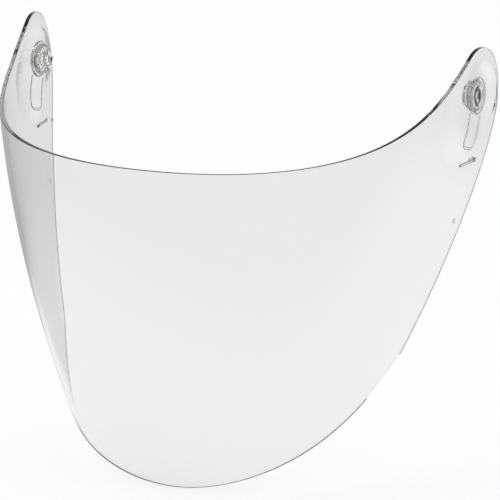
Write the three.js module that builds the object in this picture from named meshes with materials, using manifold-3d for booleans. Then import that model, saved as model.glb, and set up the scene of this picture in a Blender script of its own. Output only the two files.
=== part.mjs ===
// Clear wrap-around visor for an open-face motorcycle helmet, with the pivot set in each ear.
//
// One moulded sheet reaches from ear to ear. Each ear carries a level round pad, and in the pad's
// stepped hole sits a bush that belongs to the helmet's side. The sheet swings on the two bushes.
// A quarter-turn plug passes through each bush and locks behind the helmet's plate with two lugs.
//
// Frame: millimetres, +Z up, the front towards -Y, the wearer's left towards +X. The origin is the
// middle of the pivot axis, which runs along X. The visor is shown closed.

import * as THREE from 'three';
import Module from 'manifold-3d';

const wasm = await Module();
wasm.setup();

// Driving dimensions of the sheet
const pivotHalfSpan = 119.7;   // mid-plane to the outer skin at a pivot
const noseDepth = 113;         // pivot axis forward to the outer skin
const noseHandle = 112;        // how far the front stays broad before it turns
const cheekHandle = 47;        // how far the cheeks run straight ahead of the pivots
const toeOutShare = 0.124;     // sideways spread of the cheeks for each length towards the rear
const sheetWall = 2;

// The sheet draws in above and below the pivot axis, by shares for each span of height
const taperSpan = 100;
const widthSlopeShare = 0.065;
const widthBowShare = 0.088;
const depthSlopeShare = 0.089;
const depthBowShare = 0.048;
const leanShare = 0.061;

// The sheet's outline, drawn on the unrolled skin: girth from the mid-line and height
const browDrop = 26.4;         // pivot axis down to the top edge at the mid-line
const browHandle = 118;
const flankAhead = 11.2;       // the ear's front flank, ahead of the pivot
const flankHeight = 20.2;
const flankSlope = THREE.MathUtils.degToRad(39);
const flankHandleDown = 36;
const flankHandleUp = 12;
const tailBehind = 18.1;       // rearmost point of the ear, behind the pivot
const tailDrop = 8;
const tailHandleUp = 31.1;
const tailHandleDown = 25.5;
const cheekAhead = 27.3;       // point on the rear edge where it starts to sweep to the chin
const cheekDrop = 125.3;
const cheekSlope = THREE.MathUtils.degToRad(45);
const cheekHandleUp = 10;
const cheekHandleDown = 69;
const chinDrop = 184.1;
const chinHandle = 42;
const planRunOn = 10;          // straight run of the plan past the tail

// Clearance between pieces that touch or turn in each other
const clearance = 0.3;

// Level pad in each ear
const padSetBack = 0.9;        // skin at the pivot to the pad's face, inwards
const padWall = 3;             // pad's face to the back of the boss
const padBossRadius = 9;       // boss round the hole, on the inner face
const padFlatRadius = 9.8;
const padBlendWidth = 8.3;     // width over which the pad runs into the sheet
const padBlendRun = 20;        // what that width gains ahead and below
const seatDepth = 1;

// Pivot bush
const flangeRadius = 8.4;
const sleeveRadius = 6.95;
const collarThickness = 0.8;
const clipGrooveDepth = 0.6;
const headSeatDepth = 0.8;
const keywayWidth = 3.6;
const keywayReach = 4.9;
const reliefRadius = 5.2;      // hollow in the end, inside the ring that seats on the helmet's plate
const reliefDepth = 0.7;

// Friction ring in the bush's groove
const frictionRingWidth = 0.6;
const frictionRingHeight = 0.8;

// Retaining clip on the inner side
const clipThickness = 0.6;
const clipRadius = 7.9;
const clipGap = THREE.MathUtils.degToRad(50);

// Quarter-turn plug
const headRadius = 5.2;
const headRim = 0.8;
const headCrown = 0.5;
const stemRadius = 3.4;
const plateGap = 1.5;          // room for the helmet's plate between bush and lugs
const lugThickness = 0.9;
const lugReach = 4.6;
const slotLength = 6.4;
const slotWidth = 1.3;
const slotDepth = 0.9;

// Moulded details on the ear's inner face
const ribRoot = 0.8;           // how deep a rib is rooted in the sheet
const ribWidth = 1.4;
const ribTopWidth = 1;
const guideLean = THREE.MathUtils.degToRad(14);
const guideHalfWidth = 6;
const guideDepth = 25;         // pivot down to the guide's closed end
const guideRise = 0.6;
const stopDrop = 32;
const stopAhead = 1.5;
const stopLength = 15.4;
const stopSlope = THREE.MathUtils.degToRad(3.5);
const stopRise = 0.9;
const pegRadius = 1.3;
const pegRise = 3;
const nubAhead = 4.1;
const nubDrop = 60.3;
const nubLength = 2.6;
const nubWidth = 1.4;
const nubRise = 0.8;

// How finely the curved forms are divided
const frontColumns = 16;
const earColumns = 22;
const rows = 20;
const earColumnsFrom = 45;     // girth ahead of the pivot where the columns get closer
const roundSegments = 36;
const edgeSamples = 200;
const guideSteps = 8;
const stopSteps = 4;
const pegSegments = 12;
const ringSectionSteps = 8;
const crownSteps = 4;
const probe = 0.25;            // step for reading the skin's slope
const overrun = 1;             // how far a cutter passes the face that it opens

// Clear polycarbonate, natural nylon and silicone
function clearPolycarbonate(colour) {
  return new THREE.MeshStandardMaterial({
    color: colour, roughness: 0.05, metalness: 0, transparent: true, opacity: 0.35,
  });
}

const sheetMaterial = clearPolycarbonate('#e6e8e9');
const bushMaterial = clearPolycarbonate('#dfe2e4');
const plugMaterial = clearPolycarbonate('#d9dcde');
const nylonMaterial = new THREE.MeshStandardMaterial({ color: '#d4d5d2', roughness: 0.35, metalness: 0 });
const siliconeMaterial = new THREE.MeshStandardMaterial({ color: '#c9cac8', roughness: 0.5, metalness: 0 });

// Solids: a closed triangle list in, and a geometry out
function solidOf(positions, triangles) {
  const mesh = new wasm.Mesh({
    numProp: 3,
    vertProperties: new Float32Array(positions),
    triVerts: new Uint32Array(triangles),
  });
  mesh.merge();
  return new wasm.Manifold(mesh);
}

function solidFrom(geometry) {
  const position = geometry.attributes.position;
  const index = geometry.index ? [...geometry.index.array] : [...Array(position.count).keys()];
  return solidOf(position.array, index);
}

function geometryOf(solid) {
  const mesh = solid.getMesh();
  const geometry = new THREE.BufferGeometry();
  geometry.setAttribute('position', new THREE.BufferAttribute(mesh.vertProperties, 3));
  geometry.setIndex(new THREE.BufferAttribute(mesh.triVerts, 1));
  return geometry;
}

// The same solid on the other side of the mid-plane, its triangles turned to face outwards again
function mirrored(solid) {
  const geometry = geometryOf(solid).scale(-1, 1, 1);
  geometry.index.array.reverse();
  return solidFrom(geometry);
}

// Plan of the outer skin at the pivot axis, from the mid-line to behind the ear
const toeOut = new THREE.Vector2(toeOutShare, 1).normalize();
const plan = new THREE.Path();
plan.moveTo(0, -noseDepth);
plan.bezierCurveTo(
  noseHandle, -noseDepth,
  pivotHalfSpan - cheekHandle * toeOut.x, -cheekHandle * toeOut.y,
  pivotHalfSpan, 0,
);
const pivotGirth = plan.getLength();
const tailGirth = pivotGirth + tailBehind;
const planRun = tailBehind + planRunOn;
plan.lineTo(pivotHalfSpan + planRun * toeOut.x, planRun * toeOut.y);
plan.updateArcLengths();
const planLength = plan.getLength();

// Point of the outer skin at a girth and a height, before the pads
function bareSkin(girth, height) {
  const flat = plan.getPoint(Math.abs(girth) / planLength);
  const level = height / taperSpan;
  const width = 1 + widthSlopeShare * level - widthBowShare * level * level;
  const depth = 1 + depthSlopeShare * level - depthBowShare * level * level;
  return new THREE.Vector3(
    Math.sign(girth) * flat.x * width,
    flat.y * depth + leanShare * height,
    height,
  );
}

function skinNormal(girth, height) {
  const along = bareSkin(girth + probe, height).sub(bareSkin(girth - probe, height));
  const down = bareSkin(girth, height - probe).sub(bareSkin(girth, height + probe));
  return down.cross(along).normalize();
}

// Draws a skin point towards a level face near a pivot. The blend is widest where the point lies
// both ahead of the pivot and below it, by the square of that direction's cosine
function levelled(point, face) {
  const reach = Math.hypot(point.y, point.z);
  const aheadBelow = Math.max(0, -(point.y + point.z) / Math.SQRT2) / Math.max(reach, sheetWall);
  const blend = padBlendWidth + padBlendRun * aheadBelow * aheadBelow;
  const share = 1 - THREE.MathUtils.smoothstep(reach, padFlatRadius, padFlatRadius + blend);
  point.x = Math.sign(point.x) * THREE.MathUtils.lerp(Math.abs(point.x), face, share);
  return point;
}

const padFace = pivotHalfSpan - padSetBack;
const padBack = padFace - padWall;

function outerSkin(girth, height) {
  return levelled(bareSkin(girth, height), padFace);
}

function innerSkin(girth, height) {
  const point = bareSkin(girth, height).addScaledVector(skinNormal(girth, height), -sheetWall);
  return levelled(point, padFace - sheetWall);
}

// Outline of one half, with the girth as x and the height as y
const flank = new THREE.Vector2(pivotGirth - flankAhead, flankHeight);
const flankWay = new THREE.Vector2(Math.cos(flankSlope), Math.sin(flankSlope));
const tail = new THREE.Vector2(tailGirth, -tailDrop);
const cheek = new THREE.Vector2(pivotGirth - cheekAhead, -cheekDrop);
const cheekWay = new THREE.Vector2(Math.cos(cheekSlope), Math.sin(cheekSlope));

const topEdge = new THREE.Path();
topEdge.moveTo(0, -browDrop);
topEdge.bezierCurveTo(
  browHandle, -browDrop,
  flank.x - flankHandleDown * flankWay.x, flank.y - flankHandleDown * flankWay.y,
  flank.x, flank.y,
);
topEdge.bezierCurveTo(
  flank.x + flankHandleUp * flankWay.x, flank.y + flankHandleUp * flankWay.y,
  tail.x, tail.y + tailHandleUp,
  tail.x, tail.y,
);

const bottomEdge = new THREE.Path();
bottomEdge.moveTo(0, -chinDrop);
bottomEdge.bezierCurveTo(
  chinHandle, -chinDrop,
  cheek.x - cheekHandleDown * cheekWay.x, cheek.y - cheekHandleDown * cheekWay.y,
  cheek.x, cheek.y,
);
bottomEdge.bezierCurveTo(
  cheek.x + cheekHandleUp * cheekWay.x, cheek.y + cheekHandleUp * cheekWay.y,
  tail.x, tail.y - tailHandleDown,
  tail.x, tail.y,
);

// Height of an edge at a girth, read between close points of its path
function edgeReader(path) {
  const points = path.getPoints(edgeSamples);
  return (girth) => {
    const next = Math.max(1, points.findIndex((point) => point.x >= girth));
    const share = (girth - points[next - 1].x) / (points[next].x - points[next - 1].x);
    return THREE.MathUtils.lerp(points[next - 1].y, points[next].y, share);
  };
}

// Girths of the sheet's columns, from the mid-line to just before the tail
function columnGirths() {
  const split = pivotGirth - earColumnsFrom;
  const girths = [];
  for (let i = 0; i < frontColumns; i += 1) {
    girths.push(split * i / frontColumns);
  }
  for (let i = 0; i < earColumns; i += 1) {
    girths.push(split + (tailGirth - split) * Math.sin(Math.PI / 2 * i / earColumns));
  }
  return girths;
}

// The sheet: an outer and an inner grid of points, closed by a rim all round
function sheetSolid() {
  const topAt = edgeReader(topEdge);
  const bottomAt = edgeReader(bottomEdge);
  const half = columnGirths();
  const girths = [...half.slice(1).reverse().map((girth) => -girth), ...half];
  const positions = [];
  const triangles = [];

  const addPoint = (point) => positions.push(point.x, point.y, point.z) / 3 - 1;
  const addColumn = (girth) => {
    const top = topAt(Math.abs(girth));
    const bottom = bottomAt(Math.abs(girth));
    const column = { outer: [], inner: [] };
    for (let row = 0; row <= rows; row += 1) {
      const height = THREE.MathUtils.lerp(top, bottom, row / rows);
      column.outer.push(addPoint(outerSkin(girth, height)));
      column.inner.push(addPoint(innerSkin(girth, height)));
    }
    return column;
  };
  const addTail = (side) => {
    const outer = addPoint(outerSkin(side * tailGirth, -tailDrop));
    const inner = addPoint(innerSkin(side * tailGirth, -tailDrop));
    return { outer: Array(rows + 1).fill(outer), inner: Array(rows + 1).fill(inner) };
  };
  const addTriangle = (a, b, c) => {
    if (a !== b && b !== c && c !== a) {
      triangles.push(a, b, c);
    }
  };
  const addQuad = (a, b, c, d) => {
    addTriangle(a, b, c);
    addTriangle(a, c, d);
  };

  const columns = [addTail(-1), ...girths.map(addColumn), addTail(1)];
  for (let i = 1; i < columns.length; i += 1) {
    const before = columns[i - 1];
    const after = columns[i];
    for (let row = 0; row < rows; row += 1) {
      addQuad(before.outer[row], before.outer[row + 1], after.outer[row + 1], after.outer[row]);
      addQuad(before.inner[row], after.inner[row], after.inner[row + 1], before.inner[row + 1]);
    }
    addQuad(before.outer[0], after.outer[0], after.inner[0], before.inner[0]);
    addQuad(before.outer[rows], before.inner[rows], after.inner[rows], after.outer[rows]);
  }
  return solidOf(positions, triangles);
}

// A round bar along X, centred on the pivot axis
function roundBar(radius, from, to) {
  const bar = new THREE.CylinderGeometry(radius, radius, to - from, roundSegments);
  bar.rotateZ(-Math.PI / 2);
  bar.translate((from + to) / 2, 0, 0);
  return solidFrom(bar);
}

// A piece turned about X, from points of radius and place along X
function turned(points) {
  const profile = [...points, points[0]].map(([radius, place]) => new THREE.Vector2(radius, place));
  const lathe = new THREE.LatheGeometry(profile, roundSegments);
  lathe.rotateZ(-Math.PI / 2);
  return solidFrom(lathe);
}

// A box between two corners
function boxBetween(low, high) {
  const box = new THREE.BoxGeometry(high[0] - low[0], high[1] - low[1], high[2] - low[2]);
  box.translate((low[0] + high[0]) / 2, (low[1] + high[1]) / 2, (low[2] + high[2]) / 2);
  return solidFrom(box);
}

// A rib along girth and height points of the left ear, rooted in the sheet and rising inwards
function rib(route, rise) {
  const centres = route.map(([girth, height]) => innerSkin(girth, height));
  const positions = [];
  const triangles = [];
  centres.forEach((centre, i) => {
    const normal = skinNormal(...route[i]);
    const ahead = centres[Math.min(i + 1, centres.length - 1)];
    const behind = centres[Math.max(i - 1, 0)];
    const way = ahead.clone().sub(behind).normalize();
    const side = normal.clone().cross(way).normalize();
    const corners = [[ribWidth, ribRoot], [-ribWidth, ribRoot], [-ribTopWidth, -rise], [ribTopWidth, -rise]];
    for (const [width, lift] of corners) {
      const corner = centre.clone().addScaledVector(side, width / 2).addScaledVector(normal, lift);
      positions.push(corner.x, corner.y, corner.z);
    }
    if (i === 0) {
      triangles.push(0, 2, 1, 0, 3, 2);
      return;
    }
    for (let j = 0; j < 4; j += 1) {
      const a = (i - 1) * 4 + j;
      const b = (i - 1) * 4 + (j + 1) % 4;
      triangles.push(a, b, b + 4, a, b + 4, a + 4);
    }
  });
  const last = (centres.length - 1) * 4;
  triangles.push(last, last + 1, last + 2, last, last + 2, last + 3);
  return solidOf(positions, triangles);
}

// Girth and height of a point given across and down the leaning guide
function guidePoint(across, down) {
  return [
    pivotGirth + across * Math.cos(guideLean) - down * Math.sin(guideLean),
    -across * Math.sin(guideLean) - down * Math.cos(guideLean),
  ];
}

// U-shaped guide below the pad: two legs and a round closed end
function guideRib() {
  const legEnd = guideDepth - guideHalfWidth;
  const route = [guidePoint(-guideHalfWidth, flangeRadius)];
  for (let i = 0; i <= guideSteps; i += 1) {
    const angle = Math.PI * i / guideSteps;
    const across = -guideHalfWidth * Math.cos(angle);
    route.push(guidePoint(across, legEnd + guideHalfWidth * Math.sin(angle)));
  }
  route.push(guidePoint(guideHalfWidth, flangeRadius));
  return rib(route, guideRise);
}

// Stop rib, rising to the rear, with a peg at its rear end
function stopRib() {
  const point = (along) => [
    pivotGirth - stopAhead + along * Math.cos(stopSlope),
    along * Math.sin(stopSlope) - stopDrop,
  ];
  const route = [];
  for (let i = 0; i <= stopSteps; i += 1) {
    route.push(point(stopLength * (i / stopSteps - 1 / 2)));
  }
  const foot = innerSkin(...point(stopLength / 2 - pegRadius));
  const peg = new THREE.CylinderGeometry(pegRadius, pegRadius, pegRise + ribRoot, pegSegments);
  peg.rotateZ(Math.PI / 2);
  peg.translate(foot.x + (ribRoot - pegRise) / 2, foot.y, foot.z);
  return rib(route, stopRise).add(solidFrom(peg));
}

// Small nub low on the ear, beside the rear edge
function nub() {
  const foot = innerSkin(pivotGirth - nubAhead, -nubDrop);
  return boxBetween(
    [foot.x - nubRise, foot.y - nubWidth / 2, foot.z - nubLength / 2],
    [foot.x + ribRoot, foot.y + nubWidth / 2, foot.z + nubLength / 2],
  );
}

// Shield: the sheet with its moulded details, and a boss and a stepped hole in each ear
const holeRadius = sleeveRadius + clearance;
const seatRadius = flangeRadius + clearance;
const seatFloor = padFace - seatDepth;

function shieldGeometry() {
  const boss = roundBar(padBossRadius, padBack, padFace - sheetWall + ribRoot);
  const details = guideRib().add(stopRib()).add(nub()).add(boss);
  const hole = roundBar(holeRadius, padBack - overrun, padFace + overrun);
  const stepped = hole.add(roundBar(seatRadius, seatFloor, padFace + overrun));
  const sheet = sheetSolid().add(details).add(mirrored(details));
  return geometryOf(sheet.subtract(stepped).subtract(mirrored(stepped)));
}

// Places along X of the pivot set, worked out from the pad
const clipFace = padBack - clearance;
const clipBack = clipFace - clipThickness;
const collarFace = clipBack - clearance;
const bushEnd = collarFace - collarThickness;
const headBack = padFace - headSeatDepth + clearance;
const headSeatFloor = padFace - headSeatDepth;
const ringPlace = (padBack + seatFloor) / 2;
const ringGrooveRadius = sleeveRadius - frictionRingHeight - clearance;
const ringGrooveHalf = frictionRingWidth / 2 + clearance;
const clipGrooveRadius = sleeveRadius - clipGrooveDepth;
const boreRadius = stemRadius + clearance;
const headSeatRadius = headRadius + clearance;

// Bush: flange, sleeve with two grooves, seat for the plug's head and two keyways for its lugs
function bushGeometry() {
  const body = turned([
    [boreRadius, bushEnd + reliefDepth],
    [reliefRadius, bushEnd + reliefDepth],
    [reliefRadius, bushEnd],
    [sleeveRadius, bushEnd],
    [sleeveRadius, collarFace],
    [clipGrooveRadius, collarFace],
    [clipGrooveRadius, padBack],
    [sleeveRadius, padBack],
    [sleeveRadius, ringPlace - ringGrooveHalf],
    [ringGrooveRadius, ringPlace - ringGrooveHalf],
    [ringGrooveRadius, ringPlace + ringGrooveHalf],
    [sleeveRadius, ringPlace + ringGrooveHalf],
    [sleeveRadius, seatFloor + clearance],
    [flangeRadius, seatFloor + clearance],
    [flangeRadius, padFace],
    [headSeatRadius, padFace],
    [headSeatRadius, headSeatFloor],
    [boreRadius, headSeatFloor],
  ]);
  const bar = boxBetween(
    [bushEnd - overrun, -keywayReach - overrun, -keywayWidth / 2],
    [padFace + overrun, keywayReach + overrun, keywayWidth / 2],
  );
  const keyways = bar.intersect(roundBar(keywayReach, bushEnd - overrun, padFace + overrun));
  return geometryOf(body.subtract(keyways));
}

// Friction ring: a soft ring of rounded section in the sleeve's outer groove
function frictionRingGeometry() {
  const points = [];
  const middle = sleeveRadius - frictionRingHeight / 2;
  for (let i = 0; i < ringSectionSteps; i += 1) {
    const angle = Math.PI * 2 * i / ringSectionSteps;
    points.push([
      middle + frictionRingHeight / 2 * Math.cos(angle),
      ringPlace + frictionRingWidth / 2 * Math.sin(angle),
    ]);
  }
  return geometryOf(turned(points));
}

// Retaining clip: an open ring snapped into the sleeve's inner groove, its gap downwards
function clipGeometry() {
  const start = clipGap / 2;
  const end = Math.PI * 2 - clipGap / 2;
  const shape = new THREE.Shape();
  shape.absarc(0, 0, clipRadius, start, end, false);
  shape.absarc(0, 0, clipGrooveRadius + clearance, end, start, true);
  shape.closePath();
  const clip = new THREE.ExtrudeGeometry(shape, {
    depth: clipThickness, bevelEnabled: false, curveSegments: roundSegments,
  });
  clip.rotateY(Math.PI / 2);
  clip.translate(clipBack, 0, 0);
  return clip;
}

// Plug: crowned head with a coin slot, stem, and two lugs that lie upright when locked
function plugGeometry() {
  const lugFace = bushEnd - plateGap;
  const stemEnd = lugFace - lugThickness;
  const rimFace = headBack + headRim;
  const crownRadius = (headRadius * headRadius + headCrown * headCrown) / (2 * headCrown);
  const profile = [[0, stemEnd], [stemRadius, stemEnd], [stemRadius, headBack], [headRadius, headBack]];
  for (let i = 0; i <= crownSteps; i += 1) {
    const radius = headRadius * (1 - i / crownSteps);
    const rise = Math.sqrt(crownRadius * crownRadius - radius * radius) - crownRadius + headCrown;
    profile.push([radius, rimFace + rise]);
  }
  const crownTop = rimFace + headCrown;
  const lugBar = boxBetween(
    [stemEnd, -stemRadius / 2, -lugReach - overrun],
    [lugFace, stemRadius / 2, lugReach + overrun],
  );
  const lugs = lugBar.intersect(roundBar(lugReach, stemEnd - overrun, lugFace + overrun));
  const slot = boxBetween(
    [crownTop - slotDepth, -slotWidth / 2, -slotLength / 2],
    [crownTop + overrun, slotWidth / 2, slotLength / 2],
  );
  return geometryOf(turned(profile).add(lugs).subtract(slot));
}

// The whole visor: the sheet, and a pivot set in each ear, turned half round for the other side
function named(name, geometry, material) {
  const mesh = new THREE.Mesh(geometry, material);
  mesh.name = name;
  return mesh;
}

const visor = new THREE.Group();
visor.name = 'visor';
visor.add(named('shield', shieldGeometry(), sheetMaterial));

for (const [side, turn] of [['left', 0], ['right', Math.PI]]) {
  const pivotSet = new THREE.Group();
  pivotSet.name = `${side}_pivot_set`;
  pivotSet.rotation.z = turn;
  pivotSet.add(named(`${side}_pivot_bush`, bushGeometry(), bushMaterial));
  pivotSet.add(named(`${side}_friction_ring`, frictionRingGeometry(), siliconeMaterial));
  pivotSet.add(named(`${side}_retaining_clip`, clipGeometry(), nylonMaterial));
  pivotSet.add(named(`${side}_pivot_plug`, plugGeometry(), plugMaterial));
  visor.add(pivotSet);
}

export default visor;
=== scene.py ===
# Looks of a clear wrap-around visor for a motorcycle helmet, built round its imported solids.
#
# Every length is in metres, in the solids' own frame: +Z up, the front towards -Y, the wearer's
# left towards +X, the origin in the middle of the pivot axis. Sizes are written in millimetres
# times MM. The left side is worked out, and the right one is its mirror image or half turn.
import math

import bmesh
import bpy
import numpy as np
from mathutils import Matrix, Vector


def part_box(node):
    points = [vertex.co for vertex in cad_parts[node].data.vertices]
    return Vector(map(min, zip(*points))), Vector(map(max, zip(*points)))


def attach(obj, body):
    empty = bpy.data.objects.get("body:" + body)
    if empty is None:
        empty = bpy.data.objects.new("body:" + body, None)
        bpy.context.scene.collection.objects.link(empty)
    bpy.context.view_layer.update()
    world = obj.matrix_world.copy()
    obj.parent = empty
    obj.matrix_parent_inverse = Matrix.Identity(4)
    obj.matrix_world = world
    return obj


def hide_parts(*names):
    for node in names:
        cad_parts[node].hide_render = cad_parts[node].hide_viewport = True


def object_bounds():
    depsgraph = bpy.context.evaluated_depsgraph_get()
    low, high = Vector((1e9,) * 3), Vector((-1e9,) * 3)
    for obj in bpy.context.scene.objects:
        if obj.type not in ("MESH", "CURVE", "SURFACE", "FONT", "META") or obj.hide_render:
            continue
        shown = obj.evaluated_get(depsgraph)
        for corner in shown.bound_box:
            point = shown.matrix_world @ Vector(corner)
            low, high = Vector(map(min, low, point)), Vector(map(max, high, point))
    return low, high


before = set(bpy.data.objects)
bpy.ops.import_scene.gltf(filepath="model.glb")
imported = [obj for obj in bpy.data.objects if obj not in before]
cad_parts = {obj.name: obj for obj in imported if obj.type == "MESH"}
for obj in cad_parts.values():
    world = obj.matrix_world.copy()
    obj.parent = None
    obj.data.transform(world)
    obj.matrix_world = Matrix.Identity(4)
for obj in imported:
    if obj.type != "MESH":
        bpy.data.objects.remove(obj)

bl_info = {
    "name": "Clear helmet visor",
    "version": (1, 0, 0),
    "blender": (4, 5, 0),
    "location": "3D View > Sidebar > Visor",
    "description": "Builds a clear wrap-around visor with its two pivot sets",
    "category": "Mesh",
}

MM = 0.001
CAD_BOX = [list(corner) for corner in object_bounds()]
BUSH_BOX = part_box("left_pivot_bush")
SEAL_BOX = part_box("left_friction_ring")
CLIP_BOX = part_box("left_retaining_clip")
PLUG_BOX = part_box("left_pivot_plug")
# steps of each rounded corner
ROUND_STEPS = 3
# keeps a division by a sine or cosine from failing
TINY = 1e-9


# User values

def length(name, description, default):
    """A length that a user may change, shown in the scene's own unit."""
    return bpy.props.FloatProperty(
        name=name, description=description, default=default, unit="LENGTH", precision=5)


def number(name, description, default):
    """A plain number or ratio that a user may change."""
    return bpy.props.FloatProperty(
        name=name, description=description, default=default, precision=4)


def angle(name, description, degrees):
    """An angle that a user may change, written in degrees."""
    return bpy.props.FloatProperty(
        name=name, description=description, default=math.radians(degrees), unit="ROTATION")


def count(name, description, default):
    """A whole number of steps."""
    return bpy.props.IntProperty(name=name, description=description, default=default, min=2)


def linear(hex_colour):
    """Turns an sRGB hex colour into linear red, green and blue."""
    parts = [int(hex_colour[i:i + 2], 16) / 255 for i in (1, 3, 5)]
    return [p / 12.92 if p <= 0.04045 else ((p + 0.055) / 1.055) ** 2.4 for p in parts]


def colour(name, description, hex_colour):
    """A colour that a user may change, written as sRGB hex."""
    return bpy.props.FloatVectorProperty(
        name=name, description=description, default=linear(hex_colour), subtype="COLOR",
        min=0.0, max=1.0)


class SheetSizes(bpy.types.PropertyGroup):
    """Sizes of the clear sheet, the same as the solid's but for the rounding of its edges"""
    pivot_half_span: length("Pivot half span", "Mid-plane to the outer skin at a pivot", 119.7 * MM)
    nose_depth: length("Nose depth", "Pivot axis forward to the outer skin", 113 * MM)
    nose_handle: length("Nose handle", "How far the front stays broad before it turns", 112 * MM)
    cheek_handle: length("Cheek handle", "How far the cheeks run straight ahead of a pivot", 47 * MM)
    toe_out_share: number("Toe-out", "Sideways spread of the cheeks for each length rearwards", 0.124)
    wall: length("Wall", "Thickness of the sheet", 2 * MM)
    taper_span: length("Taper span", "Height that the taper shares are given for", 100 * MM)
    width_slope_share: number("Width slope", "Width gained for each span of height", 0.065)
    width_bow_share: number("Width bow", "Width lost for each span of height squared", 0.088)
    depth_slope_share: number("Depth slope", "Depth gained for each span of height", 0.089)
    depth_bow_share: number("Depth bow", "Depth lost for each span of height squared", 0.048)
    lean_share: number("Lean", "Rearward lean for each length upwards", 0.061)
    brow_drop: length("Brow drop", "Pivot axis down to the top edge at the mid-line", 26.4 * MM)
    brow_handle: length("Brow handle", "How far the top edge runs level from the mid-line", 118 * MM)
    flank_ahead: length("Flank ahead", "The ear's front flank, ahead of the pivot", 11.2 * MM)
    flank_height: length("Flank height", "The ear's front flank, above the pivot", 20.2 * MM)
    flank_slope: angle("Flank slope", "Slope of the ear's front flank", 39)
    flank_handle_down: length("Flank handle down", "Pull of the flank towards the brow", 36 * MM)
    flank_handle_up: length("Flank handle up", "Pull of the flank towards the ear's top", 12 * MM)
    tail_behind: length("Tail behind", "Rearmost point of the ear, behind the pivot", 18.1 * MM)
    tail_drop: length("Tail drop", "Rearmost point of the ear, below the pivot", 8 * MM)
    tail_handle_up: length("Tail handle up", "Pull of the tail upwards", 31.1 * MM)
    tail_handle_down: length("Tail handle down", "Pull of the tail downwards", 25.5 * MM)
    cheek_ahead: length("Cheek ahead", "Turn of the rear edge, ahead of the pivot", 27.3 * MM)
    cheek_drop: length("Cheek drop", "Turn of the rear edge, below the pivot", 125.3 * MM)
    cheek_slope: angle("Cheek slope", "Slope of the rear edge at its turn", 45)
    cheek_handle_up: length("Cheek handle up", "Pull of the turn upwards", 10 * MM)
    cheek_handle_down: length("Cheek handle down", "Pull of the turn towards the chin", 69 * MM)
    chin_drop: length("Chin drop", "Pivot axis down to the bottom edge at the mid-line", 184.1 * MM)
    chin_handle: length("Chin handle", "How far the bottom edge runs level", 42 * MM)
    edge_round: length("Edge round", "Rounding of the cut edge of the sheet", 0.3 * MM)
    pad_wall: length("Pad wall", "Pad's face to the back of the boss round the hole", 3 * MM)
    pad_flat_radius: length("Pad flat radius", "Level part of the pad", 9.8 * MM)
    pad_blend_width: length("Pad blend", "Width over which the pad runs into the sheet", 8.3 * MM)
    pad_blend_run: length("Pad blend run", "What that width gains ahead and below", 20 * MM)
    boss_radius: length("Boss radius", "Boss round the hole, on the inner face", 9 * MM)
    seat_depth: length("Seat depth", "Step in the hole for the bush's flange", 1 * MM)
    hole_radius: length("Hole radius", "Hole for the bush's sleeve", 7.25 * MM)
    seat_radius: length("Seat radius", "Step for the bush's flange", 8.7 * MM)
    hole_round: length("Hole round", "Rounding of the hole's edges", 0.15 * MM)


class SheetSteps(bpy.types.PropertyGroup):
    """How finely the clear sheet is divided"""
    front_columns: count("Front columns", "From the mid-line to the ear's cut line", 74)
    rows: count("Rows", "From the top edge to the bottom edge", 64)
    edge_points: count("Edge points", "Round the ear's edge, from cut line to cut line", 210)
    ear_layers: count("Ear layers", "From the hole to the ear's edge", 44)
    layer_growth: number("Layer growth", "How fast the layers widen on a longer line", 1.2)
    least_growth: number("Least growth", "Growth of the layers on the shortest line", 0.001)
    edge_arc: count("Edge arc", "Steps of each rounded edge", 7)
    ear_cut: length("Ear cut", "The cut line between front and ear, ahead of the pivot", 40 * MM)
    edge_pitch: length("Edge pitch", "Edge run that counts as one step", 1.9 * MM)
    edge_turn: angle("Edge turn", "Turn round the pivot that counts as one step", 2.2)


class MouldedSizes(bpy.types.PropertyGroup):
    """Sizes of the ribs, peg and nub moulded on the ear's inner face"""
    root: length("Root", "How deep a moulded detail is rooted in the sheet", 0.05 * MM)
    rib_width: length("Rib width", "Width of a rib at its foot", 1.4 * MM)
    rib_top_width: length("Rib top width", "Width of a rib at its top", 1 * MM)
    rib_round: length("Rib round", "Rounding of a rib's top and ends", 0.25 * MM)
    guide_lean: angle("Guide lean", "How far the guide leans forward", 14)
    guide_half_width: length("Guide half width", "Middle of the guide to a leg", 6 * MM)
    guide_top: length("Guide top", "Pivot down to the legs' upper ends", 9 * MM)
    guide_depth: length("Guide depth", "Pivot down to the guide's closed end", 25 * MM)
    guide_rise: length("Guide rise", "Height of the guide, lower than the solid's", 0.2 * MM)
    stop_drop: length("Stop drop", "Pivot down to the stop rib", 32 * MM)
    stop_ahead: length("Stop ahead", "Middle of the stop rib ahead of the pivot", 1.5 * MM)
    stop_length: length("Stop length", "Length of the stop rib", 15.4 * MM)
    stop_slope: angle("Stop slope", "How far the stop rib rises to the rear", 3.5)
    stop_rise: length("Stop rise", "Height of the stop rib", 0.9 * MM)
    peg_radius: length("Peg radius", "Peg at the stop rib's rear end", 1.3 * MM)
    peg_rise: length("Peg rise", "Height of the peg", 3 * MM)
    nub_ahead: length("Nub ahead", "Nub ahead of the pivot", 4.1 * MM)
    nub_drop: length("Nub drop", "Pivot down to the nub", 60.3 * MM)
    nub_length: length("Nub length", "Upright length of the nub", 2.6 * MM)
    nub_rise: length("Nub rise", "Height of the nub", 0.8 * MM)
    end_points: count("End points", "Points round each end of a rib", 4)
    leg_points: count("Leg points", "Points down each leg of the guide", 9)
    bend_points: count("Bend points", "Points round the guide's closed end", 25)
    stop_points: count("Stop points", "Points along the stop rib", 15)
    nub_points: count("Nub points", "Points up the nub", 7)
    peg_points: count("Peg points", "Points round the peg", 48)
    peg_round_steps: count("Peg round steps", "Steps of the peg's rounded end", 4)


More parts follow.
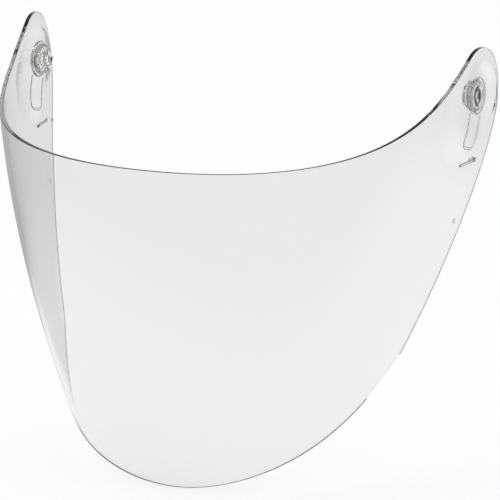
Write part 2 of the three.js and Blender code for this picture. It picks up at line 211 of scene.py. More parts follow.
class HubSizes(bpy.types.PropertyGroup):
    """Sizes of the pivot sets: the outer ones come from the frame's solids"""
    clearance: length("Clearance", "Gap between pieces that touch or turn in each other", 0.3 * MM)
    bush_face: length("Bush face", "Mid-plane to the bush's outer face", BUSH_BOX[1].x)
    bush_end: length("Bush end", "Mid-plane to the bush's inner end", BUSH_BOX[0].x)
    flange_radius: length("Flange radius", "Bush's flange", BUSH_BOX[1].z)
    flange_thickness: length("Flange thickness", "Bush's flange", 0.7 * MM)
    sleeve_radius: length("Sleeve radius", "Bush's sleeve", SEAL_BOX[1].z)
    seal_back: length("Seal back", "Mid-plane to the friction ring's inner side", SEAL_BOX[0].x)
    seal_face: length("Seal face", "Mid-plane to the friction ring's outer side", SEAL_BOX[1].x)
    seal_height: length("Seal height", "Height of the friction ring's section", 0.8 * MM)
    clip_back: length("Clip back", "Mid-plane to the clip's inner face", CLIP_BOX[0].x)
    clip_face: length("Clip face", "Mid-plane to the clip's outer face", CLIP_BOX[1].x)
    clip_radius: length("Clip radius", "Outside of the clip", CLIP_BOX[1].z)
    clip_groove_depth: length("Clip groove depth", "Groove for the clip", 0.6 * MM)
    clip_gap: angle("Clip gap", "Open part of the clip", 50)
    keyway_width: length("Keyway width", "Ways for the plug's lugs", 3.6 * MM)
    keyway_reach: length("Keyway reach", "How far the keyways reach out", 4.9 * MM)
    relief_radius: length("Relief radius", "Hollow in the bush's end", 5.2 * MM)
    relief_depth: length("Relief depth", "Depth of that hollow", 0.7 * MM)
    head_seat_depth: length("Head seat depth", "Seat for the plug's head", 0.8 * MM)
    head_radius: length("Head radius", "Plug's head", PLUG_BOX[1].y)
    head_crown: length("Head crown", "Rise of the plug's face above its rim", 0.5 * MM)
    plug_top: length("Plug top", "Mid-plane to the top of the plug's face", PLUG_BOX[1].x)
    stem_radius: length("Stem radius", "Plug's stem", 3.4 * MM)
    stem_end: length("Stem end", "Mid-plane to the plug's inner end", PLUG_BOX[0].x)
    lug_thickness: length("Lug thickness", "Thickness of a lug", 0.9 * MM)
    lug_reach: length("Lug reach", "How far a lug reaches out", 4.6 * MM)
    slot_length: length("Slot length", "Coin slot", 6.4 * MM)
    slot_width: length("Slot width", "Coin slot", 1.3 * MM)
    slot_depth: length("Slot depth", "Coin slot", 0.9 * MM)
    edge_round: length("Edge round", "Rounding of a turned edge", 0.12 * MM)
    around: count("Around", "Even steps round a turned piece", 144)
    seal_points: count("Seal points", "Points round the friction ring's section", 24)
    end_points: count("End points", "Points round each end of the clip", 4)
    crown_points: count("Crown points", "Points from the slot out over the crown", 9)
    slot_floor_share: number("Slot floor", "Place of the ring in the slot's floor", 0.9)


class Finish(bpy.types.PropertyGroup):
    """Colours of the plastics, and the painted shade in the plugs' coin slots"""
    sheet_coat: colour("Sheet coat", "What the sheet's two coated faces leave of light", "#F1F1F1")
    sheet_tint: colour("Sheet tint", "What the sheet's depth leaves of white light", "#FDFDFD")
    sheet_depth: length("Sheet depth", "Way through the sheet that leaves its tint", 2 * MM)
    hub_coat: colour("Hub coat", "What a hub part's two faces leave of light", "#FFFFFF")
    hub_tint: colour("Hub tint", "What the clear hub parts leave of white light", "#FCFCFC")
    hub_depth: length("Hub depth", "Way through a hub part that leaves its tint", 4 * MM)
    # painted shade: near black painted into the plugs' coin slots, where the recess is dark
    slot_painted_shade: colour("Slot painted shade", "Shade painted into the plugs' coin slots", "#0A0A0A")
    nylon: colour("Nylon", "Natural nylon of the clips", "#F0F0EA")
    silicone: colour("Silicone", "Translucent silicone of the friction rings", "#F2F2F0")


class StageSizes(bpy.types.PropertyGroup):
    """Camera, lamps and floor"""
    camera_across: length("Camera across", "Mid-plane to the camera", 854.8 * MM)
    camera_ahead: length("Camera ahead", "Pivot axis forward to the camera", 1781.5 * MM)
    camera_up: length("Camera up", "Pivot axis up to the camera", 355.1 * MM)
    look_turn: angle("Look turn", "Camera's line of sight to the side of straight back", 25.66)
    look_down: angle("Look down", "Camera's line of sight below level", 12.588)
    focal_length: number("Focal length", "Lens in millimetres on a 36 mm sensor", 297.8)
    floor_gap: length("Floor gap", "Lowest point of the visor down to the floor", 0.5 * MM)
    floor_side: length("Floor side", "Side of the square floor", 24.0)
    floor_glow_share: number("Floor glow", "Part of the floor's white that no shadow takes", 0.78)
    pool_across: length("Pool across", "Mid-plane to the middle of the mirrored pool of light", 0.06)
    pool_behind: length("Pool behind", "Pivot axis back to the middle of that pool", 0.06)
    pool_turn: angle("Pool turn", "Turn of the oval pool, its right end forward", 30)
    pool_half_length: length("Pool half length", "Middle of the pool to its half-lit end", 0.5)
    pool_half_width: length("Pool half width", "Middle of the pool to its half-lit side", 0.26)
    pool_full_share: number("Pool full", "Part of the way out at which the pool starts to fade", 0.62)
    pool_faded_share: number("Pool faded", "Part of the way out at which it has faded", 1.38)
    pool_dark_level: number("Pool dark level", "What the plastic mirrors beyond the pool", 0.5)
    board: colour("Board", "White sweep board", "#FCFCFC")
    sky_level: number("Sky level", "Soft light from all round", 0.75)
    room_level: number("Room level", "What the plastic mirrors behind the camera", 0.45)
    room_start: number("Room start", "Rearward part of a sight line where the room starts", -0.2)
    room_full: number("Room full", "Rearward part of a sight line where it is darkest", 0.9)
    wall_level: number("Wall level", "What the plastic mirrors of the far walls", 0.7)
    ceiling_level: number("Ceiling level", "What the plastic mirrors of the ceiling", 0.35)
    wall_height: number("Wall height", "Upward part of a sight line where the walls end", 0.1)
    ceiling_height: number("Ceiling height", "Upward part where the ceiling starts", 0.7)


# Shapes

def bezier(points, steps):
    """A cubic curve from the first point to the last, drawn towards the two between them."""
    t = np.linspace(0.0, 1.0, steps + 1)[:, None]
    a, b, c, d = np.asarray(points, float)
    return (1 - t) ** 3 * a + 3 * (1 - t) ** 2 * t * b + 3 * (1 - t) * t ** 2 * c + t ** 3 * d


def run_lengths(points):
    """Length along a line of points from its start to each of them."""
    return np.append(0.0, np.cumsum(np.linalg.norm(np.diff(points, axis=0), axis=1)))


def smoothstep(value, low, high):
    """0 below low, 1 above high, and a smooth cubic between."""
    t = np.clip((value - low) / (high - low), 0.0, 1.0)
    return t * t * (3 - 2 * t)


def unit(vectors):
    """Each vector scaled to length 1."""
    return vectors / np.linalg.norm(vectors, axis=-1, keepdims=True)


def rounded(corners, radius, steps=ROUND_STEPS, most_share=0.45):
    """A line of corners with each inner one turned into an arc, and the two ends left off.

    The arc leaves each side at radius times the tangent of half the turn, or at most_share of the
    shorter side. It is a quadratic curve whose middle weighs the cosine of half the turn, which
    is a true circular arc.
    """
    corners = np.asarray(corners, float)
    at = corners[1:-1]
    into, out = at - corners[:-2], corners[2:] - at
    side = np.minimum(np.linalg.norm(into, axis=1), np.linalg.norm(out, axis=1))
    into, out = unit(into), unit(out)
    half = np.arccos(np.clip((into * out).sum(axis=1), -1, 1)) / 2
    reach = np.minimum(radius * np.tan(half), most_share * side)[:, None]
    start, end, middle = [p[:, None] for p in (at - into * reach, at + out * reach, at)]
    t = np.linspace(0.0, 1.0, steps + 1)[None, :, None]
    pull = 2 * t * (1 - t) * np.cos(half)[:, None, None]
    arcs = ((1 - t) ** 2 * start + pull * middle + t ** 2 * end) / ((1 - t) ** 2 + pull + t ** 2)
    return arcs.reshape(-1, 2)


class Skin:
    """The sheet's wrap-around form: points of its two faces from girth and height arrays."""
    CURVE_STEPS = 2000
    RUN_ON = 10 * MM
    PROBE = 0.25 * MM

    def __init__(self, sizes, face):
        """Plan at the pivot axis: a cubic curve from the mid-line to the pivot, then straight."""
        self.sizes = s = sizes
        toe = unit(np.array([s.toe_out_share, 1.0]))
        pivot = np.array([s.pivot_half_span, 0.0])
        curve = bezier([(0, -s.nose_depth), (s.nose_handle, -s.nose_depth),
                        pivot - s.cheek_handle * toe, pivot], self.CURVE_STEPS)
        self.plan = np.vstack([curve, pivot + (s.tail_behind + self.RUN_ON) * toe])
        self.girths = run_lengths(self.plan)
        self.pivot = self.girths[-2]
        self.pad_face = face
        self.pad_back = face - s.pad_wall

    def taper(self, height):
        """Width and depth of the plan at a height: 1 plus a slope, less a bow."""
        s = self.sizes
        level = height / s.taper_span
        width = 1 + s.width_slope_share * level - s.width_bow_share * level ** 2
        depth = 1 + s.depth_slope_share * level - s.depth_bow_share * level ** 2
        return width, depth

    def bare(self, girth, height):
        """Outer skin before the pads: the plan at that girth, tapered and leaned by height."""
        width, depth = self.taper(height)
        x = np.interp(np.abs(girth), self.girths, self.plan[:, 0])
        y = np.interp(np.abs(girth), self.girths, self.plan[:, 1])
        return np.stack([np.sign(girth) * x * width, y * depth + self.sizes.lean_share * height,
                         height + 0 * girth], axis=-1)

    def square_to(self, face, girth, height):
        """Outward direction: across a face's slopes along the girth and down the height."""
        p = self.PROBE
        along = face(girth + p, height) - face(girth - p, height)
        down = face(girth, height - p) - face(girth, height + p)
        return unit(np.cross(down, along))

    def levelled(self, points, place):
        """Points drawn to a level place along X near the pivot, by distance from its axis.

        The blend is widest where a point lies both ahead of the pivot and below it, by the
        square of that direction's cosine.
        """
        s = self.sizes
        reach = np.hypot(points[..., 1], points[..., 2])
        ahead_below = -(points[..., 1] + points[..., 2]) / math.sqrt(2)
        toward = np.maximum(ahead_below, 0) / np.maximum(reach, s.wall)
        blend = s.pad_blend_width + s.pad_blend_run * toward ** 2
        level = 1 - smoothstep(reach, s.pad_flat_radius, s.pad_flat_radius + blend)
        across = points[..., 0] * (1 - level) + np.sign(points[..., 0]) * place * level
        return np.concatenate([across[..., None], points[..., 1:]], axis=-1)

    def outer(self, girth, height):
        """Outer face: the bare skin, level at the pad's face."""
        return self.levelled(self.bare(girth, height), self.pad_face)

    def inner(self, girth, height):
        """Inner face: one wall inside the bare skin, level under the pad."""
        inward = self.square_to(self.bare, girth, height) * self.sizes.wall
        return self.levelled(self.bare(girth, height) - inward, self.pad_face - self.sizes.wall)

    def girth_height(self, y, z):
        """Girth and height of the outer skin's point at y and z, on the ear."""
        flat = (y - self.sizes.lean_share * z) / self.taper(z)[1]
        return np.interp(flat, self.plan[:, 1], self.girths), z

    def edges(self):
        """Top and bottom edge, each two cubic curves in girth and height, mid-line to tail."""
        s = self.sizes
        flank = np.array([self.pivot - s.flank_ahead, s.flank_height])
        tail = np.array([self.pivot + s.tail_behind, -s.tail_drop])
        cheek = np.array([self.pivot - s.cheek_ahead, -s.cheek_drop])
        flank_way = np.array([math.cos(s.flank_slope), math.sin(s.flank_slope)])
        cheek_way = np.array([math.cos(s.cheek_slope), math.sin(s.cheek_slope)])
        up = np.array([0.0, 1.0])
        level = np.array([1.0, 0.0])
        brow = -s.brow_drop * up
        chin = -s.chin_drop * up
        top = [
            bezier([brow, brow + s.brow_handle * level,
                    flank - s.flank_handle_down * flank_way, flank], self.CURVE_STEPS),
            bezier([flank, flank + s.flank_handle_up * flank_way,
                    tail + s.tail_handle_up * up, tail], self.CURVE_STEPS)[1:],
        ]
        bottom = [
            bezier([chin, chin + s.chin_handle * level,
                    cheek - s.cheek_handle_down * cheek_way, cheek], self.CURVE_STEPS),
            bezier([cheek, cheek + s.cheek_handle_up * cheek_way,
                    tail - s.tail_handle_down * up, tail], self.CURVE_STEPS)[1:],
        ]
        return np.vstack(top), np.vstack(bottom)


class Shell:
    """Grids of points with their outward directions, gathered into one closed mesh."""
    SAME = 0.0005 * MM

    def __init__(self):
        self.points = []
        self.normals = []
        self.faces = []
        self.count = 0

    def add(self, points, normals, around=False):
        """Adds a grid and its quads, joined round where its last column meets its first."""
        rows, columns = points.shape[:2]
        index = np.arange(rows * columns).reshape(rows, columns) + self.count
        if around:
            index = np.hstack([index, index[:, :1]])
        quads = [index[:-1, :-1], index[1:, :-1], index[1:, 1:], index[:-1, 1:]]
        self.points.append(points.reshape(-1, 3))
        self.normals.append(np.broadcast_to(normals, points.shape).reshape(-1, 3))
        self.faces.append(np.stack(quads, axis=-1).reshape(-1, 4))
        self.count += rows * columns

    def mirror(self):
        """Adds the same again on the other side of the mid-plane."""
        other = np.array([-1.0, 1.0, 1.0])
        self.points += [p * other for p in self.points]
        self.normals += [n * other for n in self.normals]
        self.faces += [f + self.count for f in self.faces]
        self.count *= 2

    def mesh(self, name):
        """The mesh: points that coincide are merged, and faces turned the way of the normals."""
        points, normals, faces = [np.vstack(part) for part in (self.points, self.normals, self.faces)]
        _, first, again = np.unique(np.round(points / self.SAME).astype(np.int64), axis=0,
                                    return_index=True, return_inverse=True)
        points, normals, faces = points[first], unit(normals[first]), again.reshape(-1)[faces]
        a, b, c, d = [points[faces[:, corner]] for corner in range(4)]
        turned = (np.cross(c - a, d - b) * normals[faces].sum(axis=1)).sum(axis=1) < 0
        faces[turned] = faces[turned][:, ::-1]
        data = bpy.data.meshes.new(name)
        data.from_pydata(points.tolist(), [], faces.tolist())
        data.shade_smooth()
        data.normals_split_custom_set_from_vertices(normals.tolist())
        return data


def gridded(name, points, closed):
    """A mesh from rows of closed outlines, joined in a ring or with both ends shut."""
    rows, columns = points.shape[:2]
    index = np.arange(rows * columns).reshape(rows, columns)
    index = np.hstack([index, index[:, :1]])
    if closed:
        index = np.vstack([index, index[:1]])
    quads = np.stack([index[:-1, :-1], index[1:, :-1], index[1:, 1:], index[:-1, 1:]], axis=-1)
    data = bpy.data.meshes.new(name)
    data.from_pydata(points.reshape(-1, 3).tolist(), [], quads.reshape(-1, 4).tolist())
    shape = bmesh.new()
    shape.from_mesh(data)
    bmesh.ops.remove_doubles(shape, verts=shape.verts, dist=Shell.SAME)
    bmesh.ops.recalc_face_normals(shape, faces=shape.faces)
    shape.to_mesh(data)
    shape.free()
    data.shade_smooth()
    return data


def lofted(name, radii, places, angles, centre=(0.0, 0.0), closed=False):
    """A piece round an axis along X: each row holds a station's radii and places, by angle.

    A point is at (place, centre y + radius times cosine, centre z + radius times sine). The
    last station meets the first where closed says, and otherwise both ends close on the axis.
    """
    radii, places, angles = np.broadcast_arrays(radii, places, angles)
    points = np.stack([places, centre[0] + radii * np.cos(angles),
                       centre[1] + radii * np.sin(angles)], axis=-1)
    return gridded(name, points, closed)


def other_side(data, name, scale):
    """A copy of a left mesh for the right: mirrored by a scale, or turned half round."""
    copy = data.copy()
    copy.name = name
    points = np.empty(len(copy.vertices) * 3, np.float32)
    copy.vertices.foreach_get("co", points)
    points = points.reshape(-1, 3) * np.asarray(scale, np.float32)
    copy.vertices.foreach_set("co", points.ravel())
    if np.prod(scale) < 0:
        copy.flip_normals()
    copy.update()
    return copy


def place_piece(data, material, body, replaced=(), even_shading=True):
    """Puts a mesh in the scene as a piece that rides on a body and may replace solids."""
    piece = bpy.data.objects.new(data.name, data)
    bpy.context.scene.collection.objects.link(piece)
    data.materials.append(material)
    if even_shading:
        piece.modifiers.new("even shading", "WEIGHTED_NORMAL")
    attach(piece, body)
    if replaced:
        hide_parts(*replaced)
    return piece


# Clear sheet

def hole_profile(s, skin):
    """Radius and place along X down the stepped hole and back over the boss on the inner face."""
    beyond = 1 * MM
    floor = skin.pad_face - s.seat_depth
    foot = skin.pad_face - s.wall
    return rounded([
        (s.seat_radius + beyond, skin.pad_face), (s.seat_radius, skin.pad_face),
        (s.seat_radius, floor), (s.hole_radius, floor),
        (s.hole_radius, skin.pad_back), (s.boss_radius, skin.pad_back),
        (s.boss_radius, foot), (s.boss_radius + beyond, foot),
    ], s.hole_round)


def half_outline(steps, skin):
    """Edge of one half in girth and height: along the top, round the ear, back along the bottom.

    Round the ear, points are even in the sum of the length run and the angle turned about the
    pivot, so that they close up where the edge passes near it.
    """
    top, bottom = skin.edges()
    cut = skin.pivot - steps.ear_cut
    columns = np.linspace(0.0, cut, steps.front_columns + 1)
    above = np.stack([columns, np.interp(columns, *top.T)], axis=1)
    below = np.stack([columns, np.interp(columns, *bottom.T)], axis=1)
    ear = np.vstack([above[-1], top[top[:, 0] > cut], bottom[bottom[:, 0] > cut][-2::-1], below[-1]])
    turn = np.unwrap(np.arctan2(ear[:, 1], ear[:, 0] - skin.pivot))
    measure = run_lengths(ear) / steps.edge_pitch + np.abs(turn - turn[0]) / steps.edge_turn
    even = np.linspace(0.0, measure[-1], steps.edge_points + 1)
    ear = np.stack([np.interp(even, measure, ear[:, axis]) for axis in (0, 1)], axis=1)
    return np.vstack([above[:-1], ear, below[-2::-1]])


def ear_lines(skin, border, radius, steps):
    """Girth and height along lines from a circle round the pivot out to the ear's border.

    Each line starts on the circle in its border point's direction. Its steps grow by a steady
    factor, the more so the longer the line is.
    """
    turn = np.arctan2(border[:, 1], border[:, 0] - skin.pivot)
    start = np.stack(skin.girth_height(radius * np.cos(turn), radius * np.sin(turn)), axis=1)
    reach = np.linalg.norm(border - start, axis=1)
    growth = np.maximum(steps.layer_growth * np.log(reach / reach.min()), steps.least_growth)
    step = np.linspace(0.0, 1.0, steps.ear_layers + 1)[:, None]
    out = (np.expm1(growth * step) / np.expm1(growth))[..., None]
    flat = start * (1 - out) + border * out
    return flat[..., 0], flat[..., 1], turn


def sheet_mesh(s, steps):
    """The clear sheet, with a rounded edge all round and a stepped hole in each ear.

    Each face is a grid over the front and a grid of lines round the pivot over the ear. Both
    end at the outline drawn in by the rounding. From there arcs run out to the outline, with a
    flat between them. One half is laid out from the mid-line, then mirrored.
    """
    skin = Skin(s, BUSH_BOX[1].x)
    shell = Shell()
    outline = half_outline(steps, skin)
    way = unit(np.gradient(outline, run_lengths(outline), axis=0))
    # both ends of the outline meet the mid-line squarely
    way[0] = (1, 0)
    way[-1] = (-1, 0)
    drawn_in = outline + s.edge_round * np.stack([way[:, 1], -way[:, 0]], axis=1)

    columns = steps.front_columns + 1
    top, bottom = drawn_in[:columns], drawn_in[:-columns - 1:-1]
    rows = np.linspace(0.0, 1.0, steps.rows + 1)[:, None, None]
    front = top * (1 - rows) + bottom * rows
    ear_edge = drawn_in[columns - 1:len(drawn_in) - columns + 1]
    border = np.vstack([front[:-1, -1], ear_edge[:0:-1]])
    hole = hole_profile(s, skin)

    for face, side, rim in ((skin.outer, 1, hole[0]), (skin.inner, -1, hole[-1])):
        girth, height = front[..., 0], front[..., 1]
        shell.add(face(girth, height), side * skin.square_to(face, girth, height))
        girth, height, turn = ear_lines(skin, border, rim[0], steps)
        points = face(girth, height)
        points[0] = np.stack([0 * turn + rim[1], rim[0] * np.cos(turn), rim[0] * np.sin(turn)], 1)
        shell.add(points, side * skin.square_to(face, girth, height), around=True)

    # the hole's wall: its profile carried round the pivot
    way = unit(np.gradient(hole, axis=0))
    radius, place = hole[:, :1], hole[:, 1:]
    around = np.stack([np.cos(turn), np.sin(turn)], axis=-1)
    points = np.concatenate([(place + 0 * turn)[..., None], radius[..., None] * around], axis=-1)
    out, back = way[:, 1:], -way[:, :1]
    normals = np.concatenate([(back + 0 * turn)[..., None], out[..., None] * around], axis=-1)
    shell.add(points, normals, around=True)

    # the rim: arcs out from both faces
    start_out, edge_out = skin.outer(*drawn_in.T), skin.outer(*outline.T)
    start_in, edge_in = skin.inner(*drawn_in.T), skin.inner(*outline.T)
    normal = skin.square_to(skin.outer, *outline.T)
    outward = unit(edge_out - start_out)
    bend = np.linspace(0.0, math.pi / 2, steps.edge_arc + 1)[:, None, None]
    sink = normal * (1 - np.cos(bend)) * s.edge_round
    arc_out = edge_out + (start_out - edge_out) * (1 - np.sin(bend)) - sink
    arc_in = edge_in + (start_in - edge_in) * (1 - np.sin(bend)) + sink
    facing_out = normal * np.cos(bend) + outward * np.sin(bend)
    facing_in = outward * np.sin(bend) - normal * np.cos(bend)
    shell.add(np.concatenate([arc_out, arc_in[::-1]]), np.concatenate([facing_out, facing_in[::-1]]))

    shell.mirror()
    return shell.mesh("clear_sheet")


# Moulded details

def rib_mesh(name, skin, route, rise, m):
    """A rib along girth and height points, rooted in the inner face and rising inwards.

    Its section has sloping sides and a rounded top. At each end the section shrinks towards
    the middle of its foot over a quarter circle, then shuts.
    """
    half, top = m.rib_width / 2, m.rib_top_width / 2
    corners = [(half, m.root), (top, -rise), (-top, -rise), (-half, m.root)]
    section = np.vstack([corners[0], rounded(corners, m.rib_round), corners[-1]])
    centre = skin.inner(*route.T)
    normal = skin.square_to(skin.bare, *route.T)
    way = unit(np.gradient(centre, axis=0))
    side = unit(np.cross(normal, way))
    bend = np.linspace(0.0, math.pi / 2, m.end_points)
    shrink = 1 - m.rib_round * (1 - np.sin(bend)) / half
    slide = m.rib_round * (1 - np.cos(bend))
    size = np.concatenate([[0], shrink, np.ones(len(route) - 2), shrink[::-1], [0]])
    along = np.concatenate([[0], slide, np.zeros(len(route) - 2), -slide[::-1], [0]])
    last = len(route) - 1
    end_rows = m.end_points + 1
    which = np.concatenate([[0] * end_rows, np.arange(1, last), [last] * end_rows])
    foot = np.array([0.0, m.root])
    flat = foot + (section - foot) * size[:, None, None]
    points = (centre[which] + way[which] * along[:, None])[:, None] \
        + side[which][:, None] * flat[..., :1] + normal[which][:, None] * flat[..., 1:]
    return gridded(name, points, closed=False)


def guide_route(skin, m):
    """Down one leg, round a squarish end and up the other leg, in the leaning guide's own axes.

    The end is a half circle with its cosine and sine drawn out to their square roots.
    """
    bend = np.linspace(0.0, math.pi, m.bend_points)
    leg_end = m.guide_depth - m.guide_half_width
    down = np.linspace(m.guide_top, leg_end, m.leg_points)[:-1]
    square_across = -np.sign(np.cos(bend)) * np.sqrt(np.abs(np.cos(bend)))
    square_down = np.sqrt(np.abs(np.sin(bend)))
    across = np.concatenate([0 * down - 1, square_across, 0 * down + 1]) * m.guide_half_width
    deep = np.concatenate([down, leg_end + m.guide_half_width * square_down, down[::-1]])
    lean = m.guide_lean
    return np.stack([skin.pivot + across * math.cos(lean) - deep * math.sin(lean),
                     -across * math.sin(lean) - deep * math.cos(lean)], axis=1)


def stop_route(skin, m, along):
    """Points along the stop rib, which rises to the rear."""
    return np.stack([skin.pivot - m.stop_ahead + along * math.cos(m.stop_slope),
                     along * math.sin(m.stop_slope) - m.stop_drop], axis=1)


def nub_route(skin, m):
    """Straight up beside the ear's rear edge."""
    up = np.linspace(-m.nub_length / 2, m.nub_length / 2, m.nub_points) - m.nub_drop
    return np.stack([0 * up + skin.pivot - m.nub_ahead, up], axis=1)


def peg_mesh(skin, m):
    """A short round peg along X with a rounded end, rooted in the inner face."""
    reach = np.array([m.stop_length / 2 - m.peg_radius])
    foot = skin.inner(*stop_route(skin, m, reach).T)[0]
    corners = [(0, foot[0] + m.root), (m.peg_radius, foot[0] + m.root),
               (m.peg_radius, foot[0] - m.peg_rise), (0, foot[0] - m.peg_rise)]
    line = np.vstack([corners[:2], rounded(corners[1:], m.rib_round, m.peg_round_steps), corners[-1]])
    turn = np.linspace(0.0, 2 * math.pi, m.peg_points, endpoint=False)
    return lofted("left_stop_peg", line[:, :1], line[:, 1:], turn, centre=foot[1:])


# Pivot sets

def turns(around, corners=()):
    """Even angles round the axis, the nearest one moved to each corner of an outline."""
    angles = np.linspace(0.0, 2 * math.pi, around, endpoint=False)
    for corner in corners:
        for turn in (corner, math.pi - corner, math.pi + corner, 2 * math.pi - corner):
            angles[np.argmin(np.abs(angles - turn))] = turn
    return angles


def bar_outline(turn, half_width, least, most, upright):
    """Radius of a straight bar across the axis, kept between two circles."""
    lean = np.cos(turn) if upright else np.sin(turn)
    return np.clip(half_width / np.maximum(np.abs(lean), TINY), least, most)


def bush_mesh(h):
    """Bush: flange, sleeve with two grooves, seat for the plug's head and two keyways.

    Its profile's corners are rounded and carried round the axis. Along the bore the radius
    gains what the keyways' outline has over the bore.
    """
    bore = h.stem_radius + h.clearance
    seat = h.head_radius + h.clearance
    seat_floor = h.bush_face - h.head_seat_depth
    groove = h.sleeve_radius - h.seal_height - h.clearance
    clip_groove = h.sleeve_radius - h.clip_groove_depth
    hollow = h.bush_end + h.relief_depth
    corners = np.array([
        (bore, hollow), (h.relief_radius, hollow), (h.relief_radius, h.bush_end),
        (h.sleeve_radius, h.bush_end), (h.sleeve_radius, h.clip_back - h.clearance),
        (clip_groove, h.clip_back - h.clearance), (clip_groove, h.clip_face + h.clearance),
        (h.sleeve_radius, h.clip_face + h.clearance),
        (h.sleeve_radius, h.seal_back - h.clearance), (groove, h.seal_back - h.clearance),
        (groove, h.seal_face + h.clearance), (h.sleeve_radius, h.seal_face + h.clearance),
        (h.sleeve_radius, h.bush_face - h.flange_thickness),
        (h.flange_radius, h.bush_face - h.flange_thickness),
        (h.flange_radius, h.bush_face), (seat, h.bush_face), (seat, seat_floor), (bore, seat_floor),
    ])
    line = rounded(np.vstack([corners[-1], corners, corners[0]]), h.edge_round)
    at_bore = np.repeat(corners[:, 0] == bore, ROUND_STEPS + 1)[:, None]
    half = h.keyway_width / 2
    turn = turns(h.around, (math.asin(half / h.keyway_reach), math.asin(half / bore)))
    keyed = bar_outline(turn, half, bore, h.keyway_reach, upright=False) - bore
    return lofted("left_bush", line[:, :1] + at_bore * keyed, line[:, 1:], turn, closed=True)


def seal_mesh(h):
    """Friction ring: an oval section carried round the axis."""
    bend = np.linspace(0.0, 2 * math.pi, h.seal_points, endpoint=False)[:, None]
    middle = (h.seal_back + h.seal_face) / 2
    half = (h.seal_face - h.seal_back) / 2
    radius = h.sleeve_radius - h.seal_height / 2 * (1 - np.cos(bend))
    return lofted("left_seal", radius, middle + half * np.sin(bend), turns(h.around), closed=True)


def clip_mesh(h):
    """Retaining clip: a rounded bar section carried round an open circle, its gap downwards."""
    inside = h.sleeve_radius - h.clip_groove_depth + h.clearance
    corners = [(inside, h.clip_back), (h.clip_radius, h.clip_back),
               (h.clip_radius, h.clip_face), (inside, h.clip_face)]
    section = rounded([corners[-1], *corners, corners[0]], h.edge_round)
    middle = section.mean(axis=0)
    bend = np.linspace(0.0, math.pi / 2, h.end_points)
    shrink = 1 - 2 * h.edge_round * (1 - np.sin(bend)) / (h.clip_radius - inside)
    slide = h.edge_round * (1 - np.cos(bend)) / middle[0]
    first = -math.pi / 2 + h.clip_gap / 2
    last = 1.5 * math.pi - h.clip_gap / 2
    between = np.linspace(first, last, h.around)[1:-1]
    turn = np.concatenate([[first], first + slide, between, last - slide[::-1], [last]])[:, None]
    size = np.concatenate([[0], shrink, np.ones(len(between)), shrink[::-1], [0]])
    flat = middle + (section - middle) * size[:, None, None]
    radius, place = flat[..., 0], flat[..., 1]
    points = np.stack([place, radius * np.cos(turn), radius * np.sin(turn)], axis=-1)
    return gridded("left_clip", points, closed=False)


def plug_mesh(h):
    """Plug: crowned head with a coin slot, stem, and two lugs that lie upright when locked.

    Stations run from the slot's floor up its walls, out over the crown, which is a part of a
    ball, round the rim, along the stem and over the lugs to the stem's end.
    """
    head_back = h.bush_face - h.head_seat_depth + h.clearance
    rim = h.plug_top - h.head_crown
    ball = (h.head_radius ** 2 + h.head_crown ** 2) / (2 * h.head_crown)
    lug_face = h.stem_end + h.lug_thickness
    lug_half = h.stem_radius / 2
    turn = turns(h.around, (math.atan2(h.slot_length, h.slot_width),
                            math.acos(lug_half / h.lug_reach),
                            math.acos(lug_half / h.stem_radius)))
    level = 0 * turn
    slot = np.minimum(h.slot_width / 2 / np.maximum(np.abs(np.cos(turn)), TINY),
                      h.slot_length / 2 / np.maximum(np.abs(np.sin(turn)), TINY))
    lugs = bar_outline(turn, lug_half, h.stem_radius, h.lug_reach, upright=True) - h.stem_radius

    def crown(radius):
        return h.plug_top - ball + np.sqrt(ball ** 2 - radius ** 2)

    floor = h.plug_top - h.slot_depth
    lip = h.edge_round / 2
    out = np.linspace(0.0, 1.0, h.crown_points)[:, None]
    over = (slot + lip) * (1 - out) + (h.head_radius - h.edge_round) * out
    side = rounded([(0, crown(0)), (h.head_radius, rim), (h.head_radius, head_back),
                    (h.stem_radius, head_back), (h.stem_radius, lug_face)], h.edge_round)
    end = rounded([(h.stem_radius, lug_face), (h.stem_radius, h.stem_end), (0, h.stem_end)],
                  h.edge_round)
    stations = [
        (level, floor + level), (h.slot_floor_share * slot, floor + level), (slot, floor + level),
        (slot, crown(slot) - lip), *zip(over, crown(over)),
        *[(radius + level, place + level) for radius, place in side],
        (h.stem_radius + level, lug_face + level), (h.stem_radius + lugs, lug_face + level),
        *[(radius + lugs, place + level) for radius, place in end],
        (level, h.stem_end + level),
    ]
    radii, places = zip(*stations)
    return lofted("left_plug", np.stack(radii), np.stack(places), turn)


# Materials

def add_node(tree, kind, inputs=None, **settings):
    """Adds a node with its settings: each input is linked if given a socket, otherwise set.

    A Mix node's inputs go by number: 0 is the factor, 2 and 3 the numbers, 6 and 7 the colours.
    """
    node = tree.nodes.new(kind)
    for name, value in settings.items():
        setattr(node, name, value)
    for name, value in (inputs or {}).items():
        if isinstance(value, bpy.types.NodeSocket):
            tree.links.new(value, node.inputs[name])
        else:
            node.inputs[name].default_value = value
    return node


def new_material(name):
    """An empty material with its output node."""
    material = bpy.data.materials.new(name)
    material.use_nodes = True
    tree = material.node_tree
    tree.nodes.clear()
    return material, tree, tree.nodes.new("ShaderNodeOutputMaterial")


def per_metre(tint, depth):
    """Density at which a way of that depth leaves the tint, taken at its middle channel."""
    left = sorted(tint)[1]
    return -math.log(left) / ((1 - left) * depth)


# nearly all of a noise node's values lie between these
NOISE_RANGE = (0.3, 0.7)


